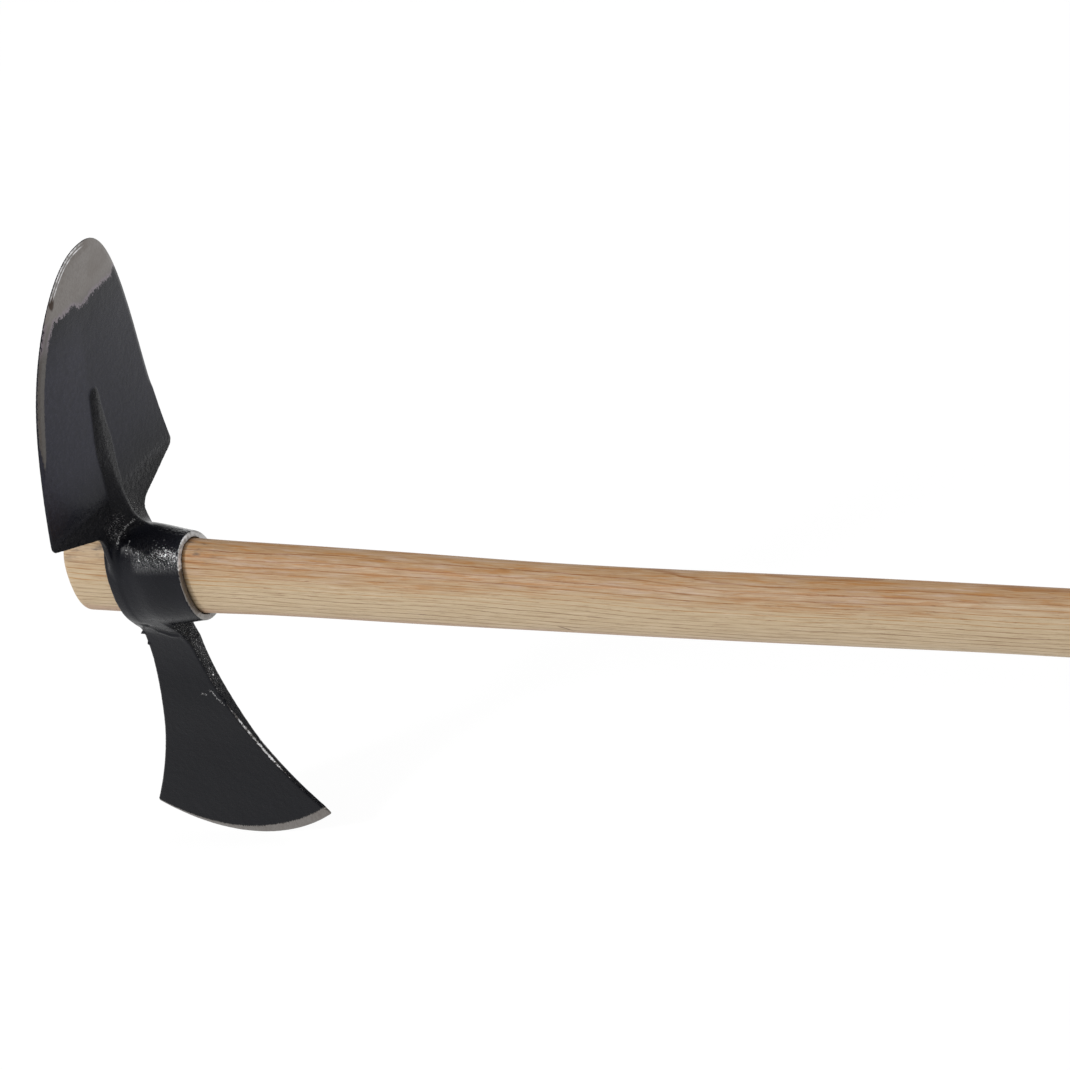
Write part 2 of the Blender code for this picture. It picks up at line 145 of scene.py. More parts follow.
# Axe blade
AXE_NECK = 12.0
AXE_NECK_BACK = -1.5
AXE_NECK_FRONT = 30.3
AXE_THROAT_LEAN = math.radians(22)
AXE_BACK_LEAN = math.radians(5.6)
AXE_BACK_RADIUS = 268.0
AXE_FRONT_LEAN = math.radians(5.5)
AXE_FRONT_RADIUS = 190.0
AXE_LENGTH = 128.0
AXE_DEPTHS = (-60, AXE_LENGTH + 20)  # where its sides are worked out
AXE_EDGE_SAG = 17.6
AXE_EDGE_TILT = 1.7
AXE_ROOT = 10.7
AXE_THICKNESS = (
    (-11, 27.0), (-4, 22.6), (1, 16.6), (5, 13.3), (10, 11.6),
    (24, 9.2), (50, 7.4), (78, 4.3), (109, 3.3), (128, 2.8),
)
AXE_FLARE_SHAPE = 1.5
AXE_SIDE_ROUNDING = (0.4, 1.4)  # smallest and largest
AXE_ROUNDING_SHARE = 0.6
AXE_CORNER_ROUNDING = 1.2
AXE_GRIND_HEEL = 1.8
AXE_GRIND_TOE = 5.8
AXE_GRIND_RISE = 1.5
AXE_EDGE = 0.9
AXE_FILLET = 2.0

# The head's mesh, and how its facets on the spade's rim are put on the smooth outline
FACET = 0.7
RIM_REACH, RIM_MARGIN, RIM_FACING = 1.6, 0.1, 0.6
RIM_SMOOTH = 1.3  # inside that distance the rim is shaded by the true shape
RIM_BOTTOM = 60

# Hammered skin: depth and length of its dents, everywhere and where it stayed rough
SKIN_DEPTH = 0.05
DENTS = ((0.07, 17), (0.03, 5.5))
ROUGH_DENTS = ((0.16, 3.1), (0.10, 1.5))

# Where the skin stayed rough: each pair is where it starts and where it is full
ROUGH_RIB_SHARE, ROUGH_RIB_MARGIN, ROUGH_RIB_FADE = 0.9, 0.4, 1.2
ROUGH_RIB_LIFT, ROUGH_RIB_BOTTOM = 0.3, 33
ROUGH_ROOT_BOTTOM, ROUGH_ROOT_TOP, ROUGH_ROOT_FRONT = (22, 30), (62, 48), (62, 48)
ROUGH_SIDE_TURN, ROUGH_SIDE_FADE, ROUGH_SIDE_TOP = 0.35, 0.3, -30
ROUGH_NECK_TOP, ROUGH_NECK_BOTTOM, ROUGH_NECK_BACK = (-26, -31), (-46, -38), (55, 67)
ROUGH_SHOULDER_SHARE, ROUGH_SHOULDER_BOTTOM = 0.12, (8, 16)
ROUGH_SHOULDER_TOP = ROUGH_SHOULDER_BACK = 40

# Burrs along the neck's corner: place and height
BURRS = ((35.4, -6.4, -36.8, 2.2), (35.2, -5.4, -45.2, 0.9))
BURR_RADIUS = 0.9

# Seam where the eye's underside rolls into the axe blade: a ridge with a hollow above it
SEAM = (
    (34.0, -13.5, -24.0), (44.0, -10.5, -30.0), (47.0, -7.6, -35.4),
    (54.5, -6.5, -38.4), (58.7, -6.3, -38.7),
)
SEAM_RISE, SEAM_WIDTH, SEAM_FADE = 0.35, 0.8, (38, 43)
SEAM_HOLLOW, SEAM_HOLLOW_AT, SEAM_HOLLOW_WIDTH = 0.45, 2.2, 1.3
SEAM_HOLLOW_SIDE, SEAM_HOLLOW_FADE = 1.5, (40, 46)

# Scratches through the lacquer, each a chain of points on the head
SCRATCHES = (
    ((54.6, -2.0, 37.2), (49.1, -6.9, 33.4), (46.7, -9.5, 30.9), (45.8, -14.7, 24.9)),
    ((53.5, -10.3, 27.8), (51.6, -15.5, 21.0)),
    ((59.1, -3.9, -79.0), (62.8, -3.9, -79.6)),
    ((65.3, -3.9, -76.4), (67.6, -3.9, -77.4), (69.0, -3.8, -80.8), (72.7, -3.7, -86.1)),
)

# A small crack low on the handle's near side, as a chain of points
WOOD_CRACK = ((326.5, -12.0, -12.2), (332.0, -10.5, -14.2), (336.5, -8.6, -15.8))

# Bright spots painted as glints on the axe's narrow side, and a spot knocked bare at the mouth's
# corner: place and radius
GLINTS_AND_CHIPS = (
    (67.6, -1.6, -57.5, 0.9), (68.9, -1.0, -63.0, 1.3), (69.8, -0.6, -67.5, 1.4),
    (71.2, -0.2, -73.2, 1.2), (84.6, -11.0, -29.0, 0.8),
)
SPOT_BORDER = 0.8

# The strip ground along the spade's near edge, from and to millimetres inside the rim, by height
STRIP_OUTER = ((97, 3.2), (103, 2.7), (108, 1.9), (115, 0.8), (128, 0.5), (165, 0.5), (175, 0.1))
STRIP_INNER = (
    (97, 2.8), (100, 3.9), (104, 4.8), (109, 5.5), (116, 5.8),
    (150, 6.3), (165, 6.8), (172, 7.6), (178, 9.0),
)
STRIP_BOTTOM = 92

# Where the spade's tip was ground bare: place across and height of the border, which is ragged
TIP_BORDER = (
    (-30, 178), (-19, 177.5), (-9, 178.4), (-4, 174.6), (3, 173.9), (9, 176.5), (28, 176), (33, 180),
)
TIP_RAGGED, TIP_RAGGED_SIZE, TIP_RAGGED_BOTTOM = 1.6, (1.9, 6), 165

# The strip ground along the axe's cutting edge: share of the way from heel to toe, and width
AXE_STRIP = ((0, 1.7), (0.35, 3.5), (0.6, 5.4), (0.8, 5.9), (1, 5.6))
AXE_STRIP_TOP = 60

# The axe's front corner, bare from wear, with a painted highlight along it: depth below the eye, and
# width
CORNER_WORN_AND_LIT = (
    (30, 0.1), (36, 0.5), (42, 0.1), (52, 0), (62, 0.5), (84, 0.9), (94, 0.8), (101, 0.2), (127, -0.2),
)
CORNER_BROKEN, CORNER_BROKEN_SIZE, CORNER_BROKEN_TOP = 0.35, 2.4, -50

# The eye's ring at the mouth: bare, with painted highlights of bright metal at its top and bottom
RING_WIDTH, RING_HALF_HEIGHT, RING_FACING = 1.0, 35, 0.5
GLARE, GLARE_LOSS = 1.6, 1.3
GLARE_TOP, GLARE_BOTTOM, GLARE_BOTTOM_SHARE = (11, 17), (-17, -20), 0.75

# Painted highlights: bright lines along the spade's rim above that height, on the near side of that
# place across
RIM_HIGHLIGHTS_BOTTOM, RIM_HIGHLIGHTS_SIDE = 186, 9

# Thick wrinkled lacquer on the eye, painted light on the spade's face, and the dark stain on that face
SHEEN_BACK, SHEEN_BOTTOM, SHEEN_TOP = (53, 60), (10, 17), (31, 26)
FACE_LIGHT_BOTTOM, FACE_LIGHT_TOP, FACE_LIGHT_SIDE, FACE_LIGHT_FAR_SHARE = (50, 90), (185, 145), (-1, -6), 0.6
FACE_LIFT = 0.2
STAIN_PLACE, STAIN_RADII = (-27.3, 190.8), (2.8, 7.0)

NOWHERE = 9  # millimetres: out of reach of any mark


# Plain shapes as distances: negative inside, in millimetres

def curve(stations, at):
    """Values along stations (place, value), on a smooth curve that never overshoots."""
    places, values = np.array(stations, float).T
    step = np.diff(places)
    rise = np.diff(values) / step
    both = rise[:-1] * rise[1:]
    inner = np.where(both > 0, 2 * both / np.where(both > 0, rise[:-1] + rise[1:], 1.0), 0.0)
    slope = np.concatenate([rise[:1], inner, rise[-1:]])
    at = np.clip(at, places[0], places[-1])
    i = np.clip(np.searchsorted(places, at, side="right") - 1, 0, len(step) - 1)
    t = (at - places[i]) / step[i]
    a, b, start, end = values[i], values[i + 1], slope[i] * step[i], slope[i + 1] * step[i]
    return (
        a * (1 + 2 * t) * (1 - t) ** 2
        + b * t * t * (3 - 2 * t)
        + start * t * (1 - t) ** 2
        + end * t * t * (t - 1)
    )


def ease(t):
    t = np.clip(t, 0.0, 1.0)
    return t * t * (3 - 2 * t)


def fade(value, start, full):
    """0 at start and 1 when full, eased in between."""
    return ease((value - start) / (full - start))


def mix(a, b, t):
    return a + (b - a) * t


def join(a, b, radius):
    """Both shapes, with a fillet of that radius where they meet."""
    fillet = np.hypot(np.maximum(radius - a, 0), np.maximum(radius - b, 0))
    return np.maximum(radius, np.minimum(a, b)) - fillet


def meet(a, b, radius):
    """What lies in both shapes, with its edge rounded."""
    return -join(-a, -b, radius)


def oval_distance(y, z, half_width, half_height, squareness):
    u = np.maximum(np.abs(y) / half_width, 1e-6)
    v = np.maximum(np.abs(z) / half_height, 1e-6)
    n = squareness
    size = (u**n + v**n) ** (1 / n)
    slope = np.hypot(u ** (n - 1) / half_width, v ** (n - 1) / half_height) * size ** (1 - n)
    return (size - 1) / slope


# Eye

def bore_half(x):
    t = (x - EYE_HEAD_END) / EYE_LENGTH
    return [mix(a, b, t) for a, b in zip(BORE_HEAD_END, BORE_GRIP_END)]


def eye_half(x):
    t = (x - EYE_HEAD_END) / EYE_LENGTH
    width, height = bore_half(x)
    return width + curve(EYE_SIDE_WALL, t), height + curve(EYE_TOP_WALL, t)


# Spade blade

def spade_place(x, z):
    """Where a point lies on the bent plate: how far along from the shoulders, how far in front."""
    c = SPADE_ARC_RADIUS * math.cos(SPADE_LEAN) - (x - EYE_HEAD_END - SPADE_SHOULDER_SETBACK)
    s = SPADE_ARC_RADIUS * math.sin(SPADE_LEAN) + (z - SPADE_SHOULDER_HEIGHT)
    along = (np.arctan2(s, c) - SPADE_LEAN) * SPADE_ARC_RADIUS
    return along, SPADE_ARC_RADIUS - np.hypot(c, s)


def spade_outline(along, y):
    y = np.abs(y)
    side = SPADE_HALF_WIDTH - SPADE_SIDE_TAPER * along
    nose_at = (along - SPADE_LENGTH + SPADE_NOSE) / SPADE_NOSE
    nose = oval_distance(y, np.maximum(nose_at, 0) * SPADE_NOSE, side, SPADE_NOSE, SPADE_NOSE_SHAPE)
    under = y - SPADE_HALF_WIDTH - SPADE_SHOULDER_SLOPE * (along + SPADE_SHOULDER_DROP)
    under /= math.hypot(1, SPADE_SHOULDER_SLOPE)
    below = np.maximum(-along - SPADE_TUCK_START, 0)
    neck = np.maximum(y - SPADE_NECK_HALF_WIDTH + SPADE_TUCK * below**2, along - SPADE_NECK_TOP)
    blade = meet(nose, under, SPADE_SHOULDER_ROUNDING)
    return np.maximum(join(blade, neck, SPADE_NECK_ROUNDING), -along - SPADE_ROOT_DEPTH)


def spade_front(along, y, inside):
    """Lift of the face that looks to the grip: a crowned plate with a rib."""
    half = np.abs(y) + np.maximum(inside, 0)
    t = (along + SPADE_ROOT_DEPTH) / (SPADE_LENGTH + SPADE_ROOT_DEPTH)
    middle = mix(SPADE_ROOT_THICKNESS, SPADE_TIP_THICKNESS, np.clip(t, 0, 1))
    share = np.clip(np.abs(y) / np.maximum(half, 1), 0, 1)
    rim = mix(SPADE_RIM, SPADE_NECK_RIM, ease(-along / SPADE_NECK_RUN))
    plate = mix(middle, rim, share**SPADE_CROWN) - SPADE_BACK
    ground = SPADE_EDGE - SPADE_BACK + SPADE_BEVEL * np.maximum(inside, 0)
    ground = ground + SPADE_UNGROUND * fade(along, *SPADE_BEVEL_FADE)
    plate = np.minimum(plate, ground)
    past = np.maximum(along - RIB_TOP, 0)
    ridge = np.sqrt(y * y + past**2 + RIB_CREST)
    reach = ridge / curve(RIB_HALF_WIDTH, along)
    return plate + curve(RIB_HEIGHT, along) * np.maximum(0, 1 - reach**RIB_SHARPNESS)


def spade(x, y, z):
    along, lift = spade_place(x, z)
    outline = spade_outline(along, y)
    front = spade_front(along, y, -outline)
    slab = np.maximum(lift - front, -SPADE_BACK - lift)
    return meet(slab, outline, SPADE_EDGE_ROUNDING), lift


# Axe blade

def axe_side(depth, throat, lean, radius):
    """How far a side has moved out at a depth below the eye, and its slope there."""
    turn = np.arcsin(np.clip(math.sin(lean) + np.maximum(0, depth - AXE_NECK) / radius, -1, 1))
    above = np.minimum(0, depth - AXE_NECK) * math.tan(throat)
    slope = np.where(depth < AXE_NECK, throat, turn)
    return above + radius * (math.cos(lean) - np.cos(turn)), slope


def axe_sides(depth):
    back, back_turn = axe_side(depth, AXE_BACK_LEAN, AXE_BACK_LEAN, AXE_BACK_RADIUS)
    front, front_turn = axe_side(depth, AXE_THROAT_LEAN, AXE_FRONT_LEAN, AXE_FRONT_RADIUS)
    return (
        EYE_HEAD_END + AXE_NECK_BACK - back,
        EYE_HEAD_END + AXE_NECK_FRONT + front,
        np.cos(back_turn),
        np.cos(front_turn),
    )


def axe_edge_circle():
    """Centre, as place along X and depth, and radius of the cutting edge's arc."""
    heel, toe, _, _ = axe_sides(np.array(AXE_LENGTH))
    chord = toe - heel
    radius = (chord**2 / 4 + AXE_EDGE_SAG**2) / (2 * AXE_EDGE_SAG)
    tilt = math.atan(AXE_EDGE_TILT / chord)
    rise = radius - AXE_EDGE_SAG
    return (heel + toe) / 2 - rise * math.sin(tilt), AXE_LENGTH - rise * math.cos(tilt), radius


def axe(x, y, z):
    depth = -z - EYE_TOP
    back, front, back_cos, front_cos = axe_sides(np.clip(depth, *AXE_DEPTHS))
    sides = np.maximum((back - x) * back_cos, (x - front) * front_cos)
    centre_x, centre_depth, radius = axe_edge_circle()
    edge = np.hypot(x - centre_x, depth - centre_depth) - radius
    share = np.clip((x - back) / (front - back), 0, 1)
    lowest = centre_depth + np.sqrt(np.maximum(radius**2 - (x - centre_x) ** 2, 1))
    hang = np.maximum(lowest - AXE_LENGTH, 0)
    flare = (depth * AXE_LENGTH / (AXE_LENGTH + hang) - AXE_NECK) / (AXE_LENGTH - AXE_NECK)
    half = curve(AXE_THICKNESS, depth - hang * np.clip(flare, 0, 1) ** AXE_FLARE_SHAPE) / 2
    strip = mix(AXE_GRIND_HEEL, AXE_GRIND_TOE, share)
    ground = AXE_EDGE / 2 + np.maximum(-edge, 0) * (AXE_GRIND_RISE - AXE_EDGE / 2) / strip
    faces = np.abs(y) - np.minimum(half, ground)
    outline = meet(sides, edge, AXE_CORNER_ROUNDING)
    outline = np.maximum(outline, -depth - AXE_ROOT)
    rounding = np.clip(half * AXE_ROUNDING_SHARE, *AXE_SIDE_ROUNDING)
    return meet(faces, outline, np.minimum(rounding, ground))


def head(x, y, z):
    eye = oval_distance(y, z, *eye_half(x), EYE_SQUARENESS)
    blade, lift = spade(x, y, z)
    side = mix(*COVE_SIDE_RADIUS, fade(y, -COVE_MIDDLE, COVE_MIDDLE))
    cove = mix(COVE_RADIUS, side, ease(np.abs(y) / COVE_SIDE))
    cove = mix(COVE_BACK_RADIUS, cove, ease((lift + SPADE_BACK) / COVE_BACK_REACH))
    upper = join(eye, blade, cove)
    upper = meet(upper, EYE_HEAD_END - x, EYE_HEAD_ROUNDING)
    upper = meet(upper, x - EYE_GRIP_END, EYE_RIM_ROUNDING)
    bore = oval_distance(y, z, *bore_half(x), BORE_SQUARENESS)
    return meet(join(upper, axe(x, y, z), AXE_FILLET), -bore, BORE_EDGE_ROUNDING)


# Meshes

def linked(name, mesh):
    made = bpy.data.objects.new(name, mesh)
    bpy.context.scene.collection.objects.link(made)
    return made


def read(mesh, what):
    """One value per point of the mesh and axis: "co" for places, "normal" for normals."""
    flat = np.empty(len(mesh.vertices) * 3, np.float32)
    mesh.vertices.foreach_get(what, flat)
    return flat.reshape(-1, 3).astype(float)


def write_points(mesh, points):
    mesh.vertices.foreach_set("co", (points * MM).astype(np.float32).ravel())
    mesh.update()


def gradient(field, points, reach=0.02):
    x, y, z = points.T
    return np.stack(
        [
            field(x + reach, y, z) - field(x - reach, y, z),
            field(x, y + reach, z) - field(x, y - reach, z),
            field(x, y, z + reach) - field(x, y, z - reach),
        ],
        1,
    ) / (2 * reach)


def settle(field, points, rounds=5, longest=0.5):
    """Moves points onto the surface where the field is zero."""
    for _ in range(rounds):
        value = field(*points.T)
        slope = gradient(field, points)
        size = np.maximum((slope**2).sum(1), 0.05)
        move = -slope * (value / size)[:, None]
        length = np.linalg.norm(move, axis=1)
        move *= np.minimum(1, longest / np.maximum(length, 1e-9))[:, None]
        points = points + move
    return points


def remeshed(source, size):
    """A copy of a solid with even facets of that size."""
    rough = linked("rough", source.data.copy())
    step = rough.modifiers.new("even facets", "REMESH")
    step.mode = "VOXEL"
    step.voxel_size = size * MM
    depsgraph = bpy.context.evaluated_depsgraph_get()
    mesh = bpy.data.meshes.new_from_object(rough.evaluated_get(depsgraph))
    mesh.materials.clear()
    bpy.data.objects.remove(rough)
    return mesh


def scale_share(points, normals):
    """Where the forged skin was left rough: rib, coves and the narrow sides of the axe. From 0 to 1."""
    x, y, z = points.T
    along, lift = spade_place(x, z)
    foot = curve(RIB_HALF_WIDTH, along)
    past = np.maximum(along - RIB_TOP, 0)
    rib = ease((foot - np.hypot(y, past) + ROUGH_RIB_MARGIN) / ROUGH_RIB_FADE)
    rib = ROUGH_RIB_SHARE * rib * (lift > ROUGH_RIB_LIFT) * (z > ROUGH_RIB_BOTTOM)
    root = fade(z, *ROUGH_ROOT_BOTTOM) * fade(z, *ROUGH_ROOT_TOP) * fade(x, *ROUGH_ROOT_FRONT)
    sides = ease((np.abs(normals[:, 0]) - ROUGH_SIDE_TURN) / ROUGH_SIDE_FADE) * (z < ROUGH_SIDE_TOP)
    neck = fade(z, *ROUGH_NECK_TOP) * fade(z, *ROUGH_NECK_BOTTOM) * fade(x, *ROUGH_NECK_BACK)
    shoulder = ROUGH_SHOULDER_SHARE * fade(z, *ROUGH_SHOULDER_BOTTOM)
    shoulder = shoulder * (x > ROUGH_SHOULDER_BACK) * (z < ROUGH_SHOULDER_TOP)
    return np.clip(np.maximum.reduce([rib, root, sides, neck, shoulder]), 0, 1)


def dents(place, sizes):
    """Noise of several depths and lengths, added up."""
    return sum(depth * noise.noise(place / length) for depth, length in sizes)


def forging(points, rough):
    """How deep the hammered surface is dented at each point, from broad soft dents to small ones."""
    depth = np.empty(len(points))
    for i, (point, share) in enumerate(zip(points, rough)):
        place = Vector(point)
        depth[i] = dents(place, DENTS)
        if share > 0.02:
            depth[i] += share * dents(place, ROUGH_DENTS)
    return np.abs(depth)


def off_line(points, chain):
    """How far points lie from a chain of straight lines, and how far above it."""
    nearest, above = np.full(len(points), 1e9), np.zeros(len(points))
    for start, end in zip(chain, chain[1:]):
        along = np.subtract(end, start)
        share = np.clip((points - start) @ along / (along @ along), 0, 1)
        off = points - start - share[:, None] * along
        distance = np.linalg.norm(off, axis=1)
        above = np.where(distance < nearest, off[:, 2], above)
        nearest = np.minimum(distance, nearest)
    return nearest, above


def off_rim(x, y, z):
    """How far outside the spade's outline a point lies."""
    return spade_outline(spade_place(x, z)[0], y)


def stretch_rim(mesh, points):
    """Moves the spade's rim out onto its smooth outline, in the plane of the blade."""
    off = off_rim(*points.T)
    slope = gradient(off_rim, points)
    slope /= np.maximum(np.linalg.norm(slope, axis=1), 0.1)[:, None]
    on_rim = ((read(mesh, "normal") * slope).sum(1) > RIM_FACING) & (np.abs(off) < RIM_REACH)
    on_rim &= points[:, 2] > RIM_BOTTOM
    return points - slope * np.where(on_rim, off + RIM_MARGIN, 0.0)[:, None]


def make_head():
    mesh = remeshed(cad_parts["forged_head"], FACET)
    points = settle(head, stretch_rim(mesh, read(mesh, "co") / MM))
    normals = gradient(head, points)
    normals /= np.linalg.norm(normals, axis=1)[:, None]
    rough = scale_share(points, normals)
    mark_skin(mesh, points, normals, rough)
    depth = SKIN_DEPTH + forging(points, rough)
    for *middle, height in BURRS:
        depth -= height * np.exp(-((np.linalg.norm(points - middle, axis=1) / BURR_RADIUS) ** 2))
    x, y, z = points.T
    off, above = off_line(np.stack([x, -np.abs(y), z], 1), SEAM)
    depth -= SEAM_RISE * np.exp(-((off / SEAM_WIDTH) ** 2)) * fade(x, *SEAM_FADE)
    hollow = np.exp(-(((off - SEAM_HOLLOW_AT) / SEAM_HOLLOW_WIDTH) ** 2)) * fade(x, *SEAM_HOLLOW_FADE)
    depth += SEAM_HOLLOW * hollow * ease(above / SEAM_HOLLOW_SIDE)
    points -= normals * depth[:, None]
    mesh.name = "head"
    write_points(mesh, points)
    mesh.shade_smooth()
    facing = read(mesh, "normal")
    on_rim = (np.abs(off_rim(*points.T)) < RIM_SMOOTH) & (points[:, 2] > RIM_BOTTOM)
    facing[on_rim] = normals[on_rim]
    mesh.normals_split_custom_set_from_vertices(facing)
    return linked("forged_head_skin", mesh)


def mark_skin(mesh, points, normals, rough):
    """Marks each point for the steel's material.

    Millimetres into bare metal and into bright metal with its painted highlights, millimetres inside
    the spade's rim near the tip, and the shares of rough skin, thick lacquer, painted light on the
    spade's face, and stain.
    """
    x, y, z = points.T
    along, lift = spade_place(x, z)
    inside = -spade_outline(along, y)
    front = lift > FACE_LIFT
    wide, high = TIP_RAGGED_SIZE
    ragged = [
        TIP_RAGGED * noise.noise((0.0, b / wide, c / high)) if c > TIP_RAGGED_BOTTOM else 0.0
        for b, c in zip(y, z)
    ]
    tip = z - curve(TIP_BORDER, y) + ragged
    strip = np.minimum(curve(STRIP_INNER, z) - inside, inside - curve(STRIP_OUTER, z))
    strip = np.where((y < 0) & (z > STRIP_BOTTOM), strip, -NOWHERE)
    bare = np.where(front, np.maximum(tip, strip), -NOWHERE)

    depth = -z - EYE_TOP
    back, toe, _, _ = axe_sides(np.clip(depth, *AXE_DEPTHS))
    centre_x, centre_depth, radius = axe_edge_circle()
    above_edge = radius - np.hypot(x - centre_x, depth - centre_depth)
    share = np.clip((x - back) / (toe - back), 0, 1)
    ground = curve(AXE_STRIP, share) - above_edge
    bare = np.maximum(bare, np.where(depth > AXE_STRIP_TOP, ground, -NOWHERE))

    on_ring = (normals[:, 0] > RING_FACING) & (np.abs(z) < RING_HALF_HEIGHT)
    ring = np.where(on_ring, x - EYE_GRIP_END + RING_WIDTH, -NOWHERE)
    bare = np.maximum(bare, ring)
    # Painted highlights: the ring's metal is drawn brighter at its top and bottom
    glare = np.maximum(fade(z, *GLARE_TOP), GLARE_BOTTOM_SHARE * fade(z, *GLARE_BOTTOM))
    glare = ring - GLARE_LOSS + GLARE * glare

    # The axe's front corner: bare from wear, and widened into a painted highlight where it catches the
    # light
    corner = np.hypot(x - toe, np.abs(y) - curve(AXE_THICKNESS, depth) / 2)
    size = CORNER_BROKEN_SIZE
    broken = [
        CORNER_BROKEN * noise.noise((a / size, b / size, c / size)) if c < CORNER_BROKEN_TOP else 0.0
        for a, b, c in points
    ]
    on_corner = (depth > CORNER_WORN_AND_LIT[0][0]) & (depth < CORNER_WORN_AND_LIT[-1][0])
    worn_and_lit = np.where(on_corner, curve(CORNER_WORN_AND_LIT, depth) - corner + broken, -NOWHERE)
    bright = np.maximum(glare, worn_and_lit)
    # bright spots: painted glints on the axe's narrow side, and one chip at the mouth's corner
    for *middle, radius in GLINTS_AND_CHIPS:
        bright = np.maximum(bright, radius - SPOT_BORDER - np.linalg.norm(points - middle, axis=1))
    bare = np.maximum(bare, worn_and_lit)
    # where the painted highlights run along the spade's rim near the tip
    edge = np.where(front & (y < RIM_HIGHLIGHTS_SIDE) & (z > RIM_HIGHLIGHTS_BOTTOM), inside, NOWHERE)

    sheen = fade(x, *SHEEN_BACK) * fade(z, *SHEEN_BOTTOM) * fade(z, *SHEEN_TOP)
    # Painted light: the spade's face is drawn lighter, more on its near side, less low on the blade and
    # near the tip
    face_light = mix(FACE_LIGHT_FAR_SHARE, 1.0, fade(y, *FACE_LIGHT_SIDE))
    face_light = front * fade(z, *FACE_LIGHT_BOTTOM) * face_light * fade(z, *FACE_LIGHT_TOP) * (1 - rough)
    off = [(v - middle) / radius for v, middle, radius in zip((y, z), STAIN_PLACE, STAIN_RADII)]
    stain = np.where(front, ease(1 - np.hypot(*off)), 0.0)
    marks = dict(
        bare=bare, bright=bright, edge=edge, rough=rough, sheen=sheen, face_light=face_light, stain=stain
    )
    for name, values in marks.items():
        layer = mesh.attributes.new(name, "FLOAT", "POINT")
        layer.data.foreach_set("value", values.astype(np.float32))


def handle_section(x):
    """Half width, half height and squareness of the handle at x."""
    share = (x - EYE_GRIP_END) / (HANDLE_LENGTH - EYE_GRIP_END)
    inside = min(max(x, EYE_HEAD_END), EYE_GRIP_END)
    gap = mix(SEAT_GAP, MOUTH_GAP, (inside - EYE_HEAD_END) / EYE_LENGTH)
    width, height = (half - gap for half in bore_half(inside))
    if x <= EYE_GRIP_END:
        return width, height, BORE_SQUARENESS
    stations = (
        ((0.0, width), *HANDLE_HALF_WIDTH),
        ((0.0, height), *HANDLE_HALF_HEIGHT),
        ((0.0, BORE_SQUARENESS), *HANDLE_SQUARENESS),
    )
    return [float(curve(s, np.array(share))) for s in stations]


def handle_places():
    def turned(rings):
        return [math.pi / 2 * k / rings for k in range(rings + 1)]

    stub = [STUB_ROUNDING * (1 - math.cos(turn)) for turn in turned(STUB_RINGS)]
    middle = np.arange(*HANDLE_MIDDLE, HANDLE_STEP)
    grip = [HANDLE_LENGTH - GRIP_ROUNDING * (1 - math.sin(turn)) for turn in turned(GRIP_RINGS)]
    return [*stub, *middle, *grip]


def end_inset(x):
    if x < STUB_ROUNDING:
        return STUB_ROUNDING - math.sqrt(STUB_ROUNDING**2 - (STUB_ROUNDING - x) ** 2)
    past = max(0.0, x - (HANDLE_LENGTH - GRIP_ROUNDING))
    return GRIP_ROUNDING - math.sqrt(max(0.0, GRIP_ROUNDING**2 - past**2))


def handle_bow(x):
    start, end = HANDLE_BOW_SPAN
    share = (x - EYE_GRIP_END) / (HANDLE_LENGTH - EYE_GRIP_END)
    within = min(1.0, max(0.0, (share - start) / (end - start)))
    return -HANDLE_BOW * math.sin(math.pi * within) ** 2


def make_handle():
    mesh = bmesh.new()
    rings = []
    for x in handle_places():
        width, height, n = handle_section(x)
        inset = end_inset(x)
        width, height, sink = width - inset, height - inset, handle_bow(x)
        ring = []
        for k in range(HANDLE_SIDES):
            turn = 2 * math.pi * (k + 0.5) / HANDLE_SIDES
            c, s = math.cos(turn), math.sin(turn)
            reach = (abs(c / width) ** n + abs(s / height) ** n) ** (-1 / n)
            wave = (x / HANDLE_WAVE_LENGTH, HANDLE_WAVES_ROUND * c, HANDLE_WAVES_ROUND * s)
            reach += HANDLE_UNEVEN * noise.noise(wave) - HANDLE_UNEVEN
            ring.append(mesh.verts.new((x * MM, reach * c * MM, (sink + reach * s) * MM)))
        rings.append(ring)
    for lower, upper in zip(rings, rings[1:]):
        for k in range(HANDLE_SIDES):
            n = (k + 1) % HANDLE_SIDES
            mesh.faces.new((lower[k], lower[n], upper[n], upper[k]))
    mesh.faces.new(list(reversed(rings[0])))
    mesh.faces.new(rings[-1])
    bmesh.ops.recalc_face_normals(mesh, faces=mesh.faces)
    data = bpy.data.meshes.new("handle")
    mesh.to_mesh(data)
    mesh.free()
    data.shade_smooth()
    return linked("ash_handle_skin", data)


# Materials

LACQUER = ((0.0060, 0.0064, 0.0090, 1), (0.0078, 0.0082, 0.0115, 1))
# lighter lacquer for the painted light on the spade's face
LACQUER_LIT = (0.0235, 0.024, 0.036, 1)
# darker lacquer for the painted shade on the rough skin
LACQUER_ROUGH_SHADED = (0.0018, 0.0018, 0.0025, 1)
LACQUER_AXE = (0.0010, 0.0013, 0.0034, 1)
DUST = (0.016, 0.016, 0.018, 1)
GROUND = ((0.165, 0.150, 0.140, 1), (0.225, 0.212, 0.200, 1))
GROUND_SOILED = (0.12, 0.10, 0.085, 1)
GROUND_STRIP = (0.104, 0.098, 0.093, 1)
GROUND_SPOTS = (0.060, 0.056, 0.053, 1)
GROUND_FRINGE = (0.255, 0.220, 0.255, 1)
GROUND_STAINED = (0.045, 0.030, 0.022, 1)
SILVER = ((0.35, 0.35, 0.35, 1), (0.74, 0.74, 0.75, 1))
# darker, browner silver for the painted shade on bright metal
SILVER_SHADED = (0.20, 0.185, 0.17, 1)

